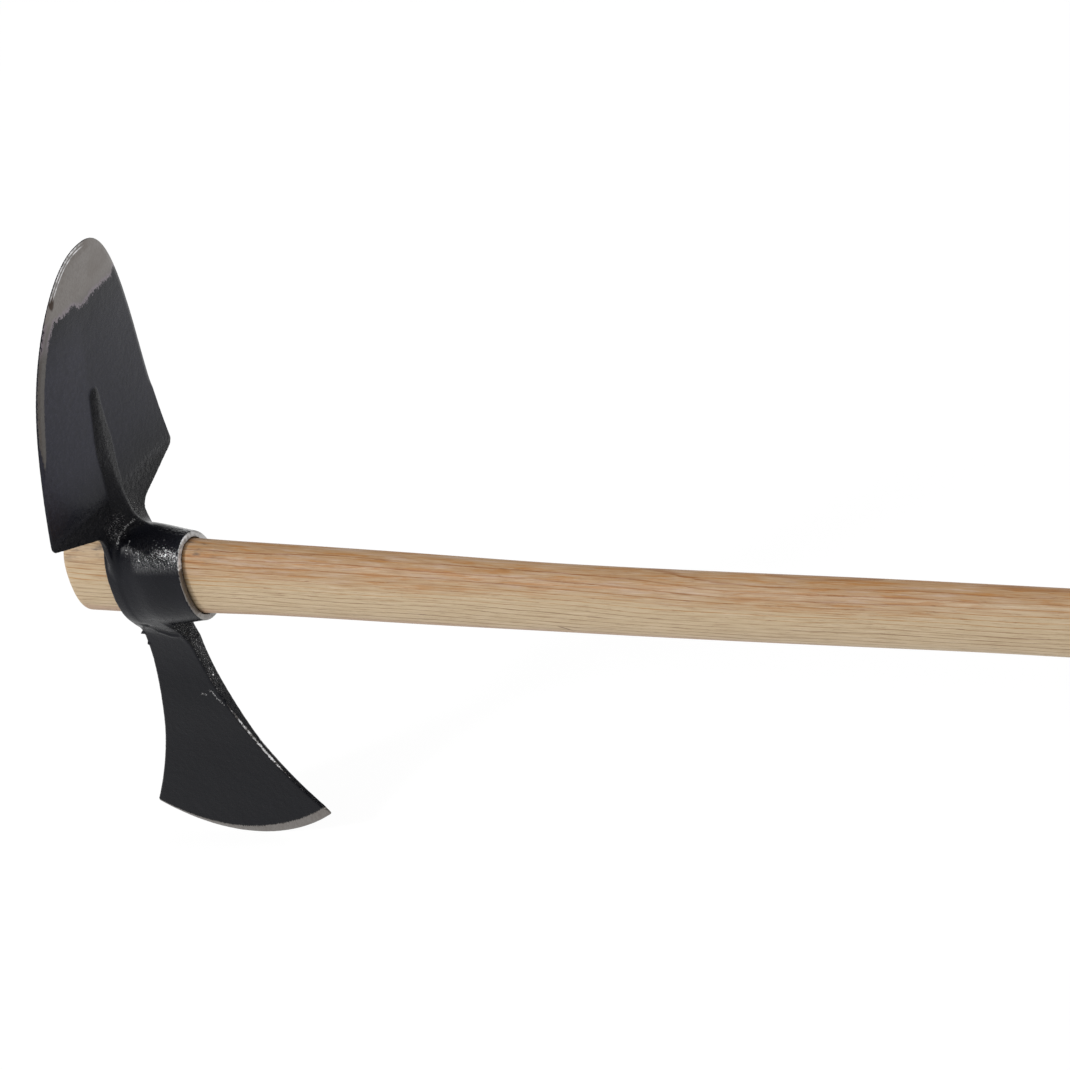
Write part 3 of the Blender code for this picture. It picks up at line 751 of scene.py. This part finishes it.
SAPWOOD, HEARTWOOD = (0.52, 0.40, 0.255, 1), (0.44, 0.272, 0.142, 1)
FLUSHED, SILVERY = (0.415, 0.192, 0.058, 1), (0.49, 0.355, 0.265, 1)
GRAIN = ((0.235, 0.145, 0.072, 1), (0.28, 0.108, 0.030, 1))
GRAIN_GOLDEN = (0.41, 0.195, 0.045, 1)
STREAK = (0.30, 0.185, 0.105, 1)
FIBRE = ((0.27, 0.16, 0.085, 1), (0.31, 0.158, 0.066, 1))
FIBRE_LIGHT = (0.66, 0.53, 0.39, 1)
UNDERSIDE = (0.40, 0.245, 0.165, 1)
PORE = ((0.16, 0.09, 0.045, 1), (0.225, 0.095, 0.033, 1))
DARK_AT_MOUTH = (0.085, 0.052, 0.025, 1)
GREYED = (0.10, 0.075, 0.06, 1)
CRACKED = (0.13, 0.065, 0.035, 1)

# Places on the head between which its looks change: where that starts and where it is full
TIP_START = (160.0, 170.0)
AXE_START = (-45.0, -75.0)
STRIP_START, STRIP_END = (60.0, 90.0), (184.0, 168.0)
# where the nicks lie, which are also bright specks as painted glints: aside, top and bottom
NICK_GLINTS_ASIDE, NICK_GLINTS_TOP, NICK_GLINTS_BOTTOM = (20.0, 13.0), (48.0, 38.0), (-88.0, -70.0)
# painted highlights along the rim, as the bright lines below
RIM_HIGHLIGHTS = ((0.8, 0.55), (2.5, 0.45))  # bright lines inside the rim: inset and half width
RIM_HIGHLIGHTS_FADE, RIM_HIGHLIGHTS_FADE_ACROSS = (190.0, 196.0), (6.0, -2.0)
# where bright metal is painted darker as shade: below the eye and on its far side
SHADED_BELOW, SHADED_ABOVE_AXE = (-8.0, -14.0), (-34.0, -28.0)
SHADED_FAR, SHADED_TOP = (-4.0, 4.0), (10.0, 15.0)

# Places on the handle in the same way
HEART_HEIGHT, HEART_START = (5.0, 17.0), (30.0, 95.0)
GOLDEN_LOW, GOLDEN_HIGH, WARM_HEIGHT = (-3.0, 6.0), (16.0, 7.0), (-4.0, 8.0)
UNDERSIDE_HEIGHT = (-13.0, -16.0)
GRAIN_SPACING = 3.0


class Nodes:
    """Short calls that add and wire shader nodes of one material or world."""

    def __init__(self, owner):
        owner.use_nodes = True
        self.owner = owner
        self.tree = owner.node_tree
        self.shader = self.tree.nodes.get("Principled BSDF")

    def add(self, kind, inputs=None, **settings):
        node = self.tree.nodes.new("ShaderNode" + kind)
        for key, value in settings.items():
            setattr(node, key, value)
        for key, value in (inputs or {}).items():
            self.put(node.inputs[key], value)
        return node

    def put(self, socket, value):
        if isinstance(value, bpy.types.NodeSocket):
            self.tree.links.new(value, socket)
        else:
            socket.default_value = value

    def give(self, name, value):
        self.put(self.shader.inputs[name], value)

    def maths(self, operation, a, b=0.0):
        return self.add("Math", {0: a, 1: b}, operation=operation).outputs[0]

    def plus(self, *values):
        return functools.reduce(lambda a, b: self.maths("ADD", a, b), values)

    def times(self, *values):
        return functools.reduce(lambda a, b: self.maths("MULTIPLY", a, b), values)

    def most(self, *values):
        return functools.reduce(lambda a, b: self.maths("MAXIMUM", a, b), values)

    def less(self, a, b):
        return self.maths("SUBTRACT", a, b)

    def spread(self, noise, size):
        """A noise of 0 to 1 turned into one around 0, of that size in all."""
        return self.times(self.less(noise, 0.5), size)

    def vectors(self, operation, a, b=(0, 0, 0), output="Vector"):
        return self.add("VectorMath", {0: a, 1: b}, operation=operation).outputs[output]

    def ramp(self, value, low, high, start=0.0, end=1.0, smooth=True):
        kind = "SMOOTHSTEP" if smooth else "LINEAR"
        names = {"Value": value, "From Min": low, "From Max": high, "To Min": start, "To Max": end}
        return self.add("MapRange", names, interpolation_type=kind).outputs["Result"]

    def blend(self, share, a, b):
        return self.add("Mix", {0: share, 6: a, 7: b}, data_type="RGBA").outputs[2]

    def level(self, share, a, b):
        return self.add("Mix", {0: share, 2: a, 3: b}, data_type="FLOAT").outputs[0]

    def places(self, scale=(1, 1, 1), turn=(0, 0, 0)):
        """Object coordinates in millimetres, stretched by scale."""
        if not hasattr(self, "object_places"):
            self.object_places = self.add("TexCoord").outputs["Object"]
        names = {
            "Vector": self.object_places,
            "Rotation": turn,
            "Scale": tuple(1000 * s for s in scale),
        }
        return self.add("Mapping", names).outputs["Vector"]

    def noise(self, places, scale, detail=3.0, roughness=0.55, distortion=0.0):
        names = {"Vector": places, "Scale": scale, "Detail": detail, "Roughness": roughness}
        return self.add("TexNoise", names | {"Distortion": distortion}).outputs["Fac"]

    def bump(self, height, strength, distance, normal=None):
        names = {"Height": height, "Strength": strength, "Distance": distance}
        if normal is not None:
            names["Normal"] = normal
        return self.add("Bump", names).outputs["Normal"]


def off_chain(n, chain):
    """How far the shaded point lies from a chain of straight lines, in millimetres."""
    whole = n.places()
    nearest = None
    for start, end in zip(chain, chain[1:]):
        along = Vector(end) - Vector(start)
        reach = n.vectors("SUBTRACT", whole, start)
        share = n.times(n.vectors("DOT_PRODUCT", reach, along, "Value"), 1 / along.length_squared)
        share = n.ramp(share, 0.0, 1.0, smooth=False)
        share = n.add("CombineXYZ", {0: share, 1: share, 2: share}).outputs[0]
        foot = n.vectors("MULTIPLY", along, share)
        off = n.vectors("LENGTH", n.vectors("SUBTRACT", reach, foot), output="Value")
        nearest = off if nearest is None else n.maths("MINIMUM", nearest, off)
    return nearest


def steel_material():
    n = Nodes(bpy.data.materials.new("lacquered forged steel"))
    whole = n.places()
    coarse = n.noise(whole, 0.05, 4)
    medium = n.noise(whole, 0.35, 5)
    fine = n.noise(whole, 1.3, 4, 0.6)
    speckle = n.noise(whole, 1.2, 3, 0.5)
    grit = n.noise(whole, 2.0, 2, 0.5)
    streaks = n.noise(n.places((1, 1, 0.16)), 1.5, 4, 0.6)
    combs = n.noise(n.places((1, 1, 0.25)), 1.5, 3, 0.6)
    scratches = n.noise(n.places((0.3, 1, 1), (0.5, 0.2, 0)), 1.1, 2, 0.4)
    wrinkles = n.noise(n.places((1, 0.45, 0.45)), 0.95, 1, 0.4, 0.6)
    split = n.add("SeparateXYZ", {0: whole}).outputs
    across, height = split["Y"], split["Z"]
    at_tip = n.ramp(height, *TIP_START)
    marks = ("bare", "bright", "edge", "rough", "sheen", "face_light", "stain")
    bare_in, bright_in, edge, rough, sheen, face_light, stain = (
        n.add("Attribute", attribute_name=name).outputs["Fac"] for name in marks
    )

    lacquer = n.blend(n.ramp(coarse, 0.3, 0.7), *LACQUER)
    # painted light: the spade's face is lightened, in patches
    face_light = n.times(face_light, n.ramp(medium, 0.3, 0.7, 0.6, 1.0))
    lacquer = n.blend(face_light, lacquer, LACQUER_LIT)
    # lacquer drawn darker on the rough skin: painted shade on the rib's flank and in the coves
    lacquer = n.blend(n.ramp(rough, 0.5, 1.0, 0.0, 0.6), lacquer, LACQUER_ROUGH_SHADED)
    lacquer = n.blend(n.ramp(height, *AXE_START, 0.0, 0.75), lacquer, LACQUER_AXE)
    dust = n.times(n.ramp(fine, 0.52, 0.74), n.ramp(rough, 0, 1, 0.2, 0.25))
    lacquer = n.blend(dust, lacquer, DUST)

    bare = n.blend(n.ramp(streaks, 0.3, 0.7), *GROUND)
    bare = n.blend(n.ramp(coarse, 0.45, 0.75, 0.0, 0.35), bare, GROUND_SOILED)
    on_strip = n.times(n.ramp(height, *STRIP_START), n.ramp(height, *STRIP_END, 0.0, 0.9))
    bare = n.blend(on_strip, bare, GROUND_STRIP)
    mottled = n.times(on_strip, n.ramp(fine, 0.45, 0.62, 0.0, 0.5))
    bare = n.blend(mottled, bare, GROUND_SPOTS)
    fringe = n.times(at_tip, n.ramp(bare_in, 4.0, 0.5, 0.0, 0.6))
    bare = n.blend(fringe, bare, GROUND_FRINGE)
    bare = n.blend(n.ramp(stain, 0.05, 0.4, 0.0, 0.9), bare, GROUND_STAINED)

    # the border of the bare metal is ragged, and combed downwards at the tip
    ragged = n.plus(n.spread(streaks, 5.0), n.spread(fine, 3.0))
    calm = n.times(ragged, n.ramp(n.maths("ABSOLUTE", bare_in), 0.0, 6.0, 0.5, 1.0))
    combed = n.spread(combs, n.times(at_tip, 11.0))
    share = n.ramp(n.plus(bare_in, calm, combed), -0.45, 0.45)

    # bright metal: wear at corners, chips, scratches and nicks; painted highlights on the ring,
    # the axe's corner and in lines along the rim; painted glints among the chips and nicks
    broken = n.plus(n.spread(medium, 1.4), n.spread(fine, 1.4))
    wear_and_highlights = n.ramp(n.plus(bright_in, broken), -0.15, 0.25)
    for chain in SCRATCHES:
        frayed = n.plus(off_chain(n, chain), n.spread(grit, 4.0))
        dashed = n.times(n.ramp(frayed, 0.45, 0.12), n.ramp(fine, 0.46, 0.54, 0.0, 0.9))
        wear_and_highlights = n.most(wear_and_highlights, dashed)
    # bare nicks in the rough skin, whose bright specks are also painted glints
    nicks_and_glints = n.times(
        n.ramp(rough, 0.88, 1.0),
        n.ramp(grit, 0.62, 0.67, 0.0, 0.8),
        n.ramp(n.maths("ABSOLUTE", across), *NICK_GLINTS_ASIDE),
        n.ramp(height, *NICK_GLINTS_TOP),
        n.ramp(height, *NICK_GLINTS_BOTTOM),
    )
    wear_and_highlights = n.most(wear_and_highlights, nicks_and_glints)
    # Painted highlights: bright lines along the rim near the tip, on its near side
    fading = n.times(
        n.ramp(height, *RIM_HIGHLIGHTS_FADE),
        n.ramp(across, *RIM_HIGHLIGHTS_FADE_ACROSS),
        n.ramp(medium, 0.35, 0.5, 0.55, 1.0),
    )
    for inset, half in RIM_HIGHLIGHTS:
        line = n.ramp(n.maths("ABSOLUTE", n.less(edge, inset)), half, half - 0.2)
        wear_and_highlights = n.most(wear_and_highlights, n.times(line, fading))
    silver = n.blend(n.ramp(medium, 0.36, 0.60), *SILVER)
    # Painted shade: bright metal drawn darker and browner below the eye and on its far side
    below = n.times(n.ramp(height, *SHADED_BELOW, 0.0, 0.75), n.ramp(height, *SHADED_ABOVE_AXE))
    far = n.times(n.ramp(across, *SHADED_FAR, 0.0, 0.45), n.ramp(height, *SHADED_TOP))
    silver = n.blend(n.most(below, far), silver, SILVER_SHADED)

    share = n.most(share, wear_and_highlights)
    n.give("Base Color", n.blend(share, lacquer, n.blend(wear_and_highlights, bare, silver)))
    n.give("Metallic", n.times(share, n.ramp(wear_and_highlights, 0.2, 0.8, 0.85, 0.45)))
    n.give("Specular IOR Level", 0.135)
    gloss = n.plus(n.ramp(medium, 0.3, 0.7, 0.16, 0.27), n.ramp(fine, 0.4, 0.7, 0.0, 0.08))
    n.give("Roughness", n.level(share, gloss, n.ramp(streaks, 0.3, 0.7, 0.34, 0.46)))
    strength = n.ramp(rough, 0.0, 1.0, 0.10, 0.9)
    skin = n.bump(fine, strength, 0.0005, n.bump(medium, strength, 0.0016))
    lines = n.bump(n.ramp(scratches, 0.60, 0.66), 0.12, 0.0002, skin)
    n.give("Normal", lines)

    # thick glossy lacquer: wrinkled over the eye's shoulder, in specks where the skin is rough
    specks = n.times(rough, n.ramp(speckle, 0.62, 0.70, 0.0, 0.3))
    n.give("Coat Weight", n.times(n.most(sheen, specks), n.less(1.0, share)))
    n.give("Coat Roughness", 0.05)
    n.give("Coat IOR", 1.7)
    n.give("Coat Normal", n.bump(wrinkles, 1.0, 0.0008, lines))
    return n.owner


def wood_material():
    """Ash: growth rings as layers stacked in height, cut by the handle's surface."""
    n = Nodes(bpy.data.materials.new("oiled ash"))
    split = n.add("SeparateXYZ", {0: n.places()}).outputs
    length, width, height = split["X"], split["Y"], split["Z"]
    warp = n.noise(n.places((0.0035, 0.02, 0.02)), 1.0, 2)
    ripple = n.noise(n.places((0.012, 0.12, 0.12)), 1.0, 3)
    streaks = n.noise(n.places((0.03, 1, 1)), 1.1, 5, 0.75)
    fibres = n.noise(n.places((0.045, 1.9, 1.9)), 1.0, 3, 0.6)
    pores = n.noise(n.places((0.07, 1, 1)), 1.5, 4, 0.7)
    thick = n.noise(n.places((0.006, 0.25, 0.25)), 1.0, 2)
    broad = n.noise(n.places((0.006, 0.06, 0.06)), 1.0, 3)
    patchy = n.noise(n.places((0.028, 0.45, 0.45)), 1.0, 4, 0.6)
    smudge = n.noise(n.places((0.05, 0.2, 0.2)), 1.0, 4, 0.65)

    leaning = n.plus(height, n.times(width, 0.16), n.times(length, 0.012))
    layer = n.plus(leaning, n.spread(warp, 14.0), n.spread(ripple, 1.8), n.spread(streaks, 1.1))
    ring = n.maths("FRACT", n.maths("DIVIDE", layer, GRAIN_SPACING))
    early = n.times(n.ramp(ring, 0.0, 0.06), n.ramp(ring, 0.08, 0.26, 1.0, 0.0))
    early = n.times(early, n.ramp(thick, 0.3, 0.6, 0.5, 1.0))

    place = n.plus(height, n.spread(broad, 24.0))
    heart = n.times(n.ramp(place, *HEART_HEIGHT), n.ramp(length, *HEART_START, 0.3, 1.0))
    golden = n.times(n.ramp(place, *GOLDEN_LOW), n.ramp(place, *GOLDEN_HIGH))
    warm = n.ramp(place, *WARM_HEIGHT)
    pale = n.blend(heart, SAPWOOD, HEARTWOOD)
    pale = n.blend(n.times(heart, n.ramp(patchy, 0.52, 0.60, 0.0, 0.85)), pale, FLUSHED)
    pale = n.blend(n.times(heart, n.ramp(patchy, 0.46, 0.34, 0.0, 0.7)), pale, SILVERY)
    line = n.blend(n.times(golden, 0.95), n.blend(heart, *GRAIN), GRAIN_GOLDEN)
    colour = n.blend(n.times(early, n.ramp(streaks, 0.3, 0.6, 0.55, 1.0)), pale, line)
    colour = n.blend(n.ramp(streaks, 0.5, 0.8, 0, 0.5), colour, STREAK)
    colour = n.blend(n.ramp(fibres, 0.52, 0.70, 0, 0.6), colour, n.blend(warm, *FIBRE))
    colour = n.blend(n.ramp(fibres, 0.48, 0.30, 0, 0.4), colour, FIBRE_LIGHT)
    under = n.ramp(n.plus(height, n.times(patchy, 3.0)), *UNDERSIDE_HEIGHT, 0.0, 0.6)
    colour = n.blend(under, colour, UNDERSIDE)
    dashes = n.times(n.ramp(pores, 0.56, 0.68), n.ramp(early, 0.0, 0.6, 0.3, 0.85))
    colour = n.blend(dashes, colour, n.blend(warm, *PORE))

    # dark brown where the wood meets the eye's mouth, grey from handling beyond it, and the crack
    from_mouth = n.less(length, EYE_GRIP_END)
    dark_at_mouth = n.ramp(n.less(from_mouth, n.times(smudge, 4.0)), -3.0, 0.0, 0.8, 0.0)
    dark_at_mouth = n.times(dark_at_mouth, n.ramp(from_mouth, -12.0, -6.0))
    colour = n.blend(dark_at_mouth, colour, DARK_AT_MOUTH)
    handled = n.times(n.ramp(from_mouth, 4.0, 34.0, 1.0, 0.0), n.ramp(height, 12.0, 20.0))
    grey = n.times(handled, n.ramp(smudge, 0.46, 0.62, 0.0, 0.75))
    colour = n.blend(grey, colour, GREYED)
    crack = n.plus(off_chain(n, WOOD_CRACK), n.spread(streaks, 0.8))
    colour = n.blend(n.ramp(crack, 0.7, 0.3, 0.0, 0.85), colour, CRACKED)

    n.give("Base Color", colour)
    n.give("Specular IOR Level", 0.3)
    n.give("Roughness", n.ramp(streaks, 0.3, 0.8, 0.45, 0.6))
    n.give("Normal", n.bump(dashes, 0.25, 0.0003))
    return n.owner


# Studio

FLOOR_REACH = 6.0
FLOOR_GLOW, FLOOR_GLOW_SHARE = 1.04, 0.9
WORLD_LIGHT = 0.5


def make_camera():
    """The photo's viewpoint, rolled so that the handle runs down to the right."""
    right = Vector((0.83573715, 0.48112618, -0.2646904))
    up = Vector((-0.03851835, 0.53219328, 0.84574621))
    back = right.cross(up).normalized()
    up = back.cross(right).normalized()
    data = bpy.data.cameras.new("camera")
    data.lens = 150.22
    data.sensor_width = 36.0
    data.clip_start, data.clip_end = 0.1, 50.0
    camera = linked("camera", data)
    turn = Matrix((right, up, back)).transposed()
    camera.matrix_world = Matrix.Translation((1.61101, -1.63953, 1.12791)) @ turn.to_4x4()
    bpy.context.scene.camera = camera


def make_floor(height):
    """A pale floor that shows white, yet keeps the part's shadow."""
    mesh = bmesh.new()
    corners = ((-1, -1), (1, -1), (1, 1), (-1, 1))
    mesh.faces.new([mesh.verts.new((x * FLOOR_REACH, y * FLOOR_REACH, height)) for x, y in corners])
    data = bpy.data.meshes.new("floor")
    mesh.to_mesh(data)
    mesh.free()
    floor = linked("floor", data)
    n = Nodes(bpy.data.materials.new("pale floor"))
    n.give("Base Color", (0.9, 0.9, 0.9, 1))
    n.give("Roughness", 0.9)
    n.give("Specular IOR Level", 0.0)
    glow = n.add("Emission", {"Color": (1, 1, 1, 1), "Strength": FLOOR_GLOW}).outputs[0]
    path = n.add("LightPath").outputs
    seen = n.most(path["Is Camera Ray"], path["Is Glossy Ray"], path["Is Transmission Ray"])
    both = {0: n.times(seen, FLOOR_GLOW_SHARE), 1: n.shader.outputs[0], 2: glow}
    n.put(n.tree.nodes["Material Output"].inputs["Surface"], n.add("MixShader", both).outputs[0])
    data.materials.append(n.owner)


def make_world():
    """White all round at eye level, dimmer overhead, and lower still as a light."""
    world = bpy.data.worlds.new("studio")
    bpy.context.scene.world = world
    n = Nodes(world)
    path = n.add("LightPath").outputs
    direction = n.add("TexCoord").outputs["Generated"]
    upward = n.add("SeparateXYZ", {0: direction}).outputs["Z"]
    ceiling = n.ramp(upward, 0.0, 0.3, 1.0, 0.1)
    mirrored = n.level(path["Is Glossy Ray"], WORLD_LIGHT, ceiling)
    background = n.tree.nodes["Background"]
    n.put(background.inputs["Strength"], n.level(path["Is Camera Ray"], mirrored, 1.0))
    n.put(background.inputs["Color"], (1, 1, 1, 1))


def area_light(name, place, target, size, power):
    data = bpy.data.lights.new(name, "AREA")
    data.shape = "RECTANGLE"
    data.size = data.size_y = size
    data.energy = power
    lamp = linked(name, data)
    lamp.location = place
    lamp.rotation_mode = "QUATERNION"
    lamp.rotation_quaternion = (Vector(target) - Vector(place)).to_track_quat("-Z", "Y")


def make_studio():
    low, _ = cad_box
    make_world()
    make_floor(low.z)
    area_light("key", (-1.45, -2.4, 2.0), (0.2, 0, 0), 0.65, 66)
    area_light("grip side", (3.2, 0.9, 1.9), (0.1, 0, 0), 0.7, 36)
    bpy.context.scene.view_settings.view_transform = "Standard"


make_camera()
make_studio()

steel = steel_material()
forged = make_head()
forged.data.materials.append(steel)
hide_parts("forged_head")
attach(forged, "root")

wood = wood_material()
stick = make_handle()
stick.data.materials.append(wood)
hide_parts("ash_handle")
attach(stick, "root")
